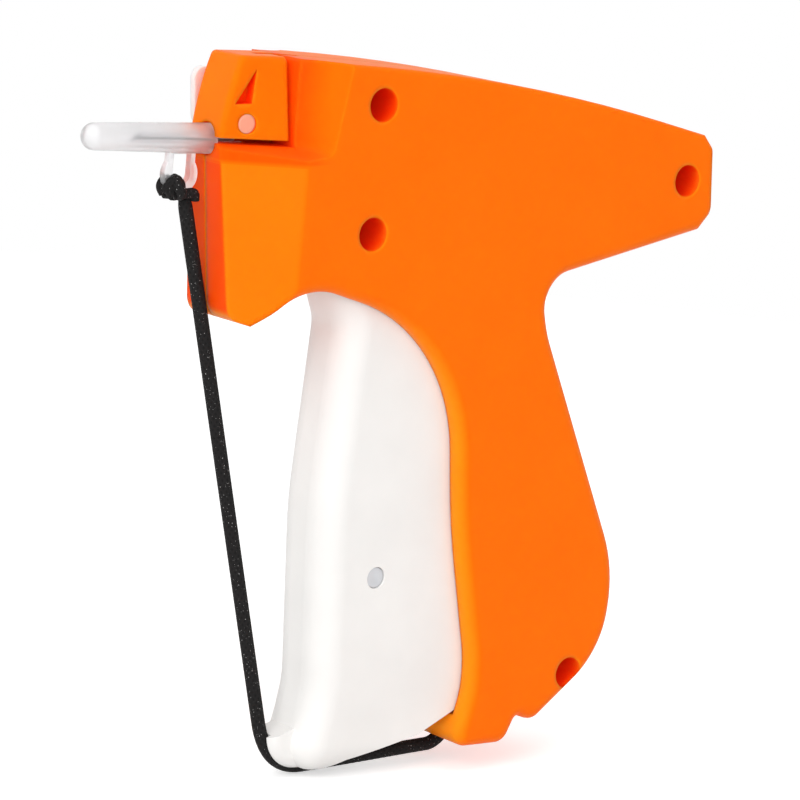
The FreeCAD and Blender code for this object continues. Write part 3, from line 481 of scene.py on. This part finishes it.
def make_moulded_group():
    """Colour, roughness and normal of a plastic: painted front light, edge wear with a painted highlight, painted
    shade in zones and deep places, mottling, seam and grain.
    """
    tree, given, out = group(
        "moulded_plastic",
        [("Colour", "Color"), ("Edge Colour", "Color"), ("Roughness", "Float"), ("Edge Radius", "Float"),
         ("Mottle", "Float"), ("Parting", "Float"), ("Painted Deep Red Colour", "Color"), ("Painted Deep Red", "Float"),
         ("Painted Front Light Colour", "Color"), ("Painted Front Light", "Float"), ("Painted Shade Zones", "Float")],
        [("Colour", "Color"), ("Roughness", "Float"), ("Normal", "Vector")])
    place = node(tree, "TexCoord").outputs["Object"]
    at = node(tree, "SeparateXYZ", {"Vector": place}).outputs
    fine, broad, scuff = (noise(tree, place, *look) for look in ((9000.0, 2.0), (60.0, 4.0), (700.0, 6.0)))
    rounded = node(tree, "Bevel", {"Radius": given["Edge Radius"]}, samples=8).outputs["Normal"]
    looks = node(tree, "SeparateXYZ", {"Vector": rounded}).outputs

    below = ramp(tree, at["Z"], HEAD_FOOT + LEDGE_SOFT, HEAD_FOOT - LEDGE_SOFT)
    above = maths(tree, "LESS_THAN", below, given["Painted Shade Zones"])
    # Painted light: faces that look forward get a lighter front colour, on the shells only below the head's foot.
    front = maths(tree, "SUBTRACT", ramp(tree, looks["X"], *FRONT_LEAN), above, clamp=True)
    front = maths(tree, "MULTIPLY", front, given["Painted Front Light"])
    colour = mixed_colour(tree, front, given["Colour"], given["Painted Front Light Colour"])

    flat = node(tree, "NewGeometry").outputs["Normal"]
    along_face = node(tree, "VectorMath", {0: rounded, 1: flat}, operation="DOT_PRODUCT").outputs["Value"]
    # Edge wear, and on the orange also a painted highlight: rounded edges take a lighter colour where the scuff
    # noise is high.
    wear_and_highlight = maths(tree, "MULTIPLY", ramp(tree, along_face, *EDGE_LEAN), scuff)
    colour = mixed_colour(tree, wear_and_highlight, colour, given["Edge Colour"])

    # Painted shade: the muzzle's forward faces below the head's foot and the scooped window beside the slit get
    # the deep red.
    at_nose = ramp(tree, at["X"], NOSE_BACK, NOSE_BACK - NOSE_SOFT)
    muzzle = maths(tree, "MULTIPLY", ramp(tree, looks["X"], *MUZZLE_LEAN), at_nose)
    muzzle = maths(tree, "MULTIPLY", muzzle, below)
    at_slit = ramp(tree, at["X"], SLIT_BACK, SLIT_BACK + SLIT_FADE, SLIT_SHARE, 0.0)
    scoop = maths(tree, "SUBTRACT", at_slit, below, clamp=True)
    zones = maths(tree, "MULTIPLY", maths(tree, "MAXIMUM", muzzle, scoop), given["Painted Shade Zones"])
    colour = mixed_colour(tree, zones, colour, given["Painted Deep Red Colour"])

    # Painted shade: places that see little open sky within reach turn deep red, for light that sinks into the
    # orange and comes back redder.
    sky = node(tree, "AmbientOcclusion", {"Distance": DEEP_REACH}, samples=6, only_local=True).outputs["AO"]
    deep = maths(tree, "MULTIPLY", ramp(tree, sky, *DEEP_SKY), given["Painted Deep Red"])
    colour = mixed_colour(tree, deep, colour, given["Painted Deep Red Colour"])

    swing = maths(tree, "MULTIPLY", ramp(tree, broad, *NOISE_SPAN, -1.0, 1.0), given["Mottle"])
    seam = ramp(tree, maths(tree, "ABSOLUTE", at["Y"]), SEAM_HALF, SEAM_END, SEAM_SHADE, 0.0)
    seam = maths(tree, "MULTIPLY", seam, ramp(tree, looks["Z"], *SEAM_LEAN))
    seam = maths(tree, "MULTIPLY", seam, given["Parting"])
    bright = maths(tree, "SUBTRACT", maths(tree, "ADD", swing, 1.0), seam)
    colour = node(tree, "HueSaturation", {"Value": bright, "Color": colour}).outputs["Color"]

    rough = ramp(tree, scuff, *NOISE_SPAN, -ROUGH_SWING, ROUGH_SWING)
    rough = maths(tree, "ADD", rough, given["Roughness"])
    bump = node(tree, "Bump", {"Strength": GRAIN, "Distance": GRAIN_HEIGHT, "Height": fine, "Normal": rounded})
    for label, socket in (("Colour", colour), ("Roughness", rough), ("Normal", bump.outputs["Normal"])):
        tree.links.new(socket, out[label])
    return tree


MOULDED = make_moulded_group()
WHITE = (1, 1, 1, 1)
PLAIN_LOOK = {"Edge Radius": 0.4 * MM, "Mottle": 0.03, "Parting": 0.0, "Painted Deep Red Colour": WHITE, "Painted Deep Red": 0.0,
              "Painted Front Light Colour": WHITE, "Painted Front Light": 0.0, "Painted Shade Zones": 0.0}


def plain_material(name):
    """A material with only its Principled shader, and that shader."""
    material = bpy.data.materials.new(name)
    material.use_nodes = True
    return material, material.node_tree, material.node_tree.nodes["Principled BSDF"]


def moulded_material(name, look, **shader):
    """A plastic. Its look is the group's inputs by name, and the rest is set on the shader's own sockets."""
    material, tree, principled = plain_material(name)
    surface = node(tree, "Group", node_tree=MOULDED)
    for label, value in {**PLAIN_LOOK, **look}.items():
        surface.inputs[label].default_value = value
    for label, target in (("Colour", "Base Color"), ("Roughness", "Roughness"), ("Normal", "Normal")):
        tree.links.new(surface.outputs[label], principled.inputs[target])
    for label, value in shader.items():
        principled.inputs[label.replace("_", " ")].default_value = value
    return material


def paint_glow_along(material, axis, start, end, share, colour):
    """Paint a glow colour on the plastic, for light that shines through it, from nothing at start to its full
    share at end.
    """
    tree = material.node_tree
    base = tree.nodes["Principled BSDF"].inputs["Base Color"]
    along = node(tree, "SeparateXYZ", {"Vector": node(tree, "TexCoord").outputs["Object"]}).outputs[axis]
    surface = base.links[0].from_socket
    tree.links.new(mixed_colour(tree, ramp(tree, along, start, end, 0.0, share), surface, colour), base)


# %% Plastics
# On the orange the deep colour is painted shade, the front colour painted light, and the edge colour partly a
# painted highlight.
ORANGE_LOOK = {"Colour": (1.0, 0.165, 0.002, 1), "Edge Colour": (1.0, 0.25, 0.008, 1), "Roughness": 0.45,
               "Edge Radius": 1.5 * MM, "Painted Deep Red Colour": (1.0, 0.012, 0.001, 1), "Painted Deep Red": 0.9,
               "Painted Front Light Colour": (1.0, 0.27, 0.008, 1)}
ORANGE_SHADER = dict(Subsurface_Weight=0.4, Subsurface_Radius=(1.0, 0.10, 0.01), Subsurface_Scale=0.0015,
                     Specular_IOR_Level=0.12, Specular_Tint=(1.0, 0.30, 0.03, 1.0))
shell_orange = moulded_material("shell_orange", {**ORANGE_LOOK, "Parting": 1.0, "Painted Front Light": 1.0, "Painted Shade Zones": 0.75},
                                **ORANGE_SHADER)
orange = moulded_material("orange_plastic", {**ORANGE_LOOK, "Painted Front Light": 0.25}, **ORANGE_SHADER)
white = moulded_material(
    "white_plastic", {"Colour": (0.83, 0.82, 0.80, 1), "Edge Colour": (0.85, 0.84, 0.82, 1),
                      "Roughness": 0.42, "Edge Radius": 0.1 * MM}, Specular_IOR_Level=0.35)
lever_white = moulded_material(
    "lever_plastic", {"Colour": (0.80, 0.79, 0.76, 1), "Edge Colour": (0.85, 0.85, 0.83, 1), "Roughness": 0.5})
cap_plastic = moulded_material(
    "cap_plastic", {"Colour": (0.94, 0.935, 0.94, 1), "Edge Colour": (0.95, 0.95, 0.95, 1), "Roughness": 0.33,
                    "Edge Radius": 0.1 * MM, "Mottle": 0.02}, Transmission_Weight=0.8, IOR=1.35)
# The lock lever's pinkish base colour is painted light, for the orange light it takes up from the block around
# it.
lock_white = moulded_material(
    "lock_plastic", {"Colour": (0.90, 0.80, 0.78, 1), "Edge Colour": (0.9, 0.88, 0.86, 1), "Roughness": 0.4},
    Subsurface_Weight=0.4, Subsurface_Radius=(1.0, 0.6, 0.5), Subsurface_Scale=0.002, Specular_IOR_Level=0.3)

# %% [markdown]
# Next to the orange body the pale plastics get a painted orange glow, for the orange light that shines into them:
# the clear cap along its rear rim, and the milky lock lever where its shaft lies inside the block.

# %% Painted orange glow
CAP_REAR, CAP_GLOW_LENGTH = -80.0 * MM, 8.5 * MM
SHAFT_INSIDE, SHAFT_OUTSIDE = 6.0 * MM, 8.5 * MM
# Painted light: an orange glow on the cap's rear rim and on the lock lever's shaft.
paint_glow_along(cap_plastic, "X", CAP_REAR - CAP_GLOW_LENGTH, CAP_REAR, 0.9, (0.96, 0.66, 0.60, 1))
paint_glow_along(lock_white, "Y", SHAFT_OUTSIDE, SHAFT_INSIDE, 1.0, (0.95, 0.36, 0.24, 1))

# %% Metals
TURNING_SHARE, TURNING_HEIGHT = 0.15, 0.02 * MM
METAL_SWING = 0.08


def metal_material(name, colour, roughness):
    """Machined metal with fine turning marks and a cloudy sheen."""
    material, tree, principled = plain_material(name)
    place = node(tree, "TexCoord").outputs["Object"]
    marks, cloud = noise(tree, place, 4000.0, 3.0), noise(tree, place, 900.0, 4.0)
    tone = mixed_colour(tree, cloud, (*[c * 0.9 for c in colour], 1), (*colour, 1))
    rough = ramp(tree, cloud, *NOISE_SPAN, roughness - METAL_SWING, roughness + METAL_SWING)
    bump = node(tree, "Bump", {"Strength": TURNING_SHARE, "Distance": TURNING_HEIGHT, "Height": marks})
    tree.links.new(tone, principled.inputs["Base Color"])
    tree.links.new(rough, principled.inputs["Roughness"])
    tree.links.new(bump.outputs["Normal"], principled.inputs["Normal"])
    principled.inputs["Metallic"].default_value = 1.0
    return material


steel = metal_material("steel", (0.78, 0.79, 0.81), 0.38)
dull_steel = metal_material("dull_steel", (0.58, 0.59, 0.61), 0.45)
zinc_yellow = metal_material("brass", (0.78, 0.60, 0.30), 0.4)

# %% Elastic
BRAID_VALLEY, BRAID_CREST, FIBRE = (0.002, 0.002, 0.002, 1), (0.011, 0.010, 0.010, 1), (0.45, 0.44, 0.43, 1)
FIBRE_SPAN = 0.72, 0.76      # only the highest peaks of the noise become a pale fibre
BRAID_BUMP = 0.1 * MM


def elastic_material():
    """Black braid: strands that cross with painted shade in the valleys between them, a dull sheen, and a few
    pale fibre specks.
    """
    material, tree, principled = plain_material("elastic_braid")
    uv = node(tree, "SeparateXYZ", {"Vector": node(tree, "TexCoord").outputs["UV"]}).outputs
    waves = []
    for sign in (1.0, -1.0):
        along = maths(tree, "MULTIPLY", uv["Y"], sign * math.tau / (BRAID_PITCH / MM))
        around = maths(tree, "MULTIPLY", uv["X"], math.pi * BRAID_STRANDS)
        waves.append(maths(tree, "ABSOLUTE", maths(tree, "COSINE", maths(tree, "ADD", along, around))))
    height = maths(tree, "MAXIMUM", *waves)
    # Painted shade: the valleys between the strands are darker than the crests.
    tone = mixed_colour(tree, height, BRAID_VALLEY, BRAID_CREST)
    specks = noise(tree, node(tree, "TexCoord").outputs["Object"], 3400.0, 1.0)
    tone = mixed_colour(tree, ramp(tree, specks, *FIBRE_SPAN), tone, FIBRE)
    bump = node(tree, "Bump", {"Strength": 0.6, "Distance": BRAID_BUMP, "Height": height})
    tree.links.new(tone, principled.inputs["Base Color"])
    tree.links.new(bump.outputs["Normal"], principled.inputs["Normal"])
    principled.inputs["Roughness"].default_value = 0.75
    principled.inputs["Specular IOR Level"].default_value = 0.15
    return material


braid = elastic_material()

# %% Give every piece its finish
FINISHES = {
    shell_orange: ["left_shell", "right_shell"],
    orange: ["nose_block"],
    white: ["trigger"],
    lever_white: ["drive_lever", "drive_link", "pusher_slide"],
    lock_white: ["needle_lock_lever"],
    cap_plastic: ["needle_cap"],
    steel: ["needle", "needle_base", "trigger_axle", "lever_axle", "lever_link_pin", "lever_slide_pin",
            "pusher_rod", "return_spring", "feed_axle", "check_pawl", "cord_anchor", "housing_screws"],
    dull_steel: ["trigger_pin"],
    zinc_yellow: ["feed_wheel"],
    braid: ["elastic_cord", "cord_knot"],
}


def dress(piece, material):
    piece.data.materials.clear()
    piece.data.materials.append(material)


for material, names in FINISHES.items():
    for name in names:
        dress(nodes[name], material)
for piece in elastic_pieces + knot_parts:
    dress(piece, braid)
for piece in screws:
    dress(piece, steel)
dress(trigger_pin, dull_steel)
print("nodes with a finish:", sum(len(names) for names in FINISHES.values()), "of", len(nodes))

# %% [markdown]
# A product picture has a white floor and broad soft lamps. The floor is a plain pale disc under the
# toe, the world lights from all round, and the camera sees white where there is nothing, because the
# world asks which kind of ray has met it.

# %% Floor and lights
FLOOR_GAP = 0.3 * MM
FLOOR_RADIUS = 0.7
FLOOR_GLOW = 0.5
ROOM_LIGHT = 0.60
LAMP_DISTANCE = 1.6
LAMPS = [("key_lamp", -58, 28, 0.9, 11.0), ("front_lamp", -34, 12, 0.5, 5.0), ("top_lamp", 20, 82, 1.2, 5.0)]


def seen_directly(tree):
    """1 for rays from the camera, also those that gloss or a clear piece has turned, and 0 for all others."""
    rays = node(tree, "LightPath").outputs
    gloss = maths(tree, "MAXIMUM", rays["Is Camera Ray"], rays["Is Glossy Ray"])
    return maths(tree, "MAXIMUM", gloss, rays["Is Transmission Ray"])


def make_floor():
    """A pale disc. For the camera it glows a little, so that only the shadow on it is darker than the room."""
    bm = bmesh.new()
    bmesh.ops.create_circle(bm, cap_ends=True, segments=96, radius=FLOOR_RADIUS)
    bmesh.ops.translate(bm, verts=bm.verts, vec=(0, 0, cad_low.z - FLOOR_GAP))
    floor = new_piece("floor", mesh_from(bm, "floor"))
    material, tree, principled = plain_material("floor_white")
    for label, value in (("Base Color", (0.82, 0.82, 0.82, 1)), ("Roughness", 1.0), ("Specular IOR Level", 0.0),
                         ("Emission Color", WHITE)):
        principled.inputs[label].default_value = value
    glow = maths(tree, "MULTIPLY", seen_directly(tree), FLOOR_GLOW)
    tree.links.new(glow, principled.inputs["Emission Strength"])
    dress(floor, material)


def make_world():
    """Light from all round, and plain white where the camera looks past everything."""
    world = bpy.data.worlds.new("studio")
    bpy.context.scene.world = world
    world.use_nodes = True
    tree = world.node_tree
    ground = tree.nodes["Background"]
    ground.inputs["Color"].default_value = WHITE
    tree.links.new(ramp(tree, seen_directly(tree), 0.0, 1.0, ROOM_LIGHT, 1.0), ground.inputs["Strength"])


def soft_lamp(name, azimuth, elevation, size, power):
    """A square lamp on a sphere round the tool, turned to its middle."""
    way = direction(azimuth, elevation)
    data = bpy.data.lights.new(name, "AREA")
    data.shape, data.size, data.energy = "SQUARE", size, power
    lamp = bpy.data.objects.new(name, data)
    bpy.context.scene.collection.objects.link(lamp)
    lamp.location = CAMERA_AIM + way * LAMP_DISTANCE
    lamp.rotation_mode = "QUATERNION"
    lamp.rotation_quaternion = (-way).to_track_quat("-Z", "Y")


make_floor()
make_world()
for lamp_look in LAMPS:
    soft_lamp(*lamp_look)

bpy.context.scene.view_settings.view_transform = "Standard"
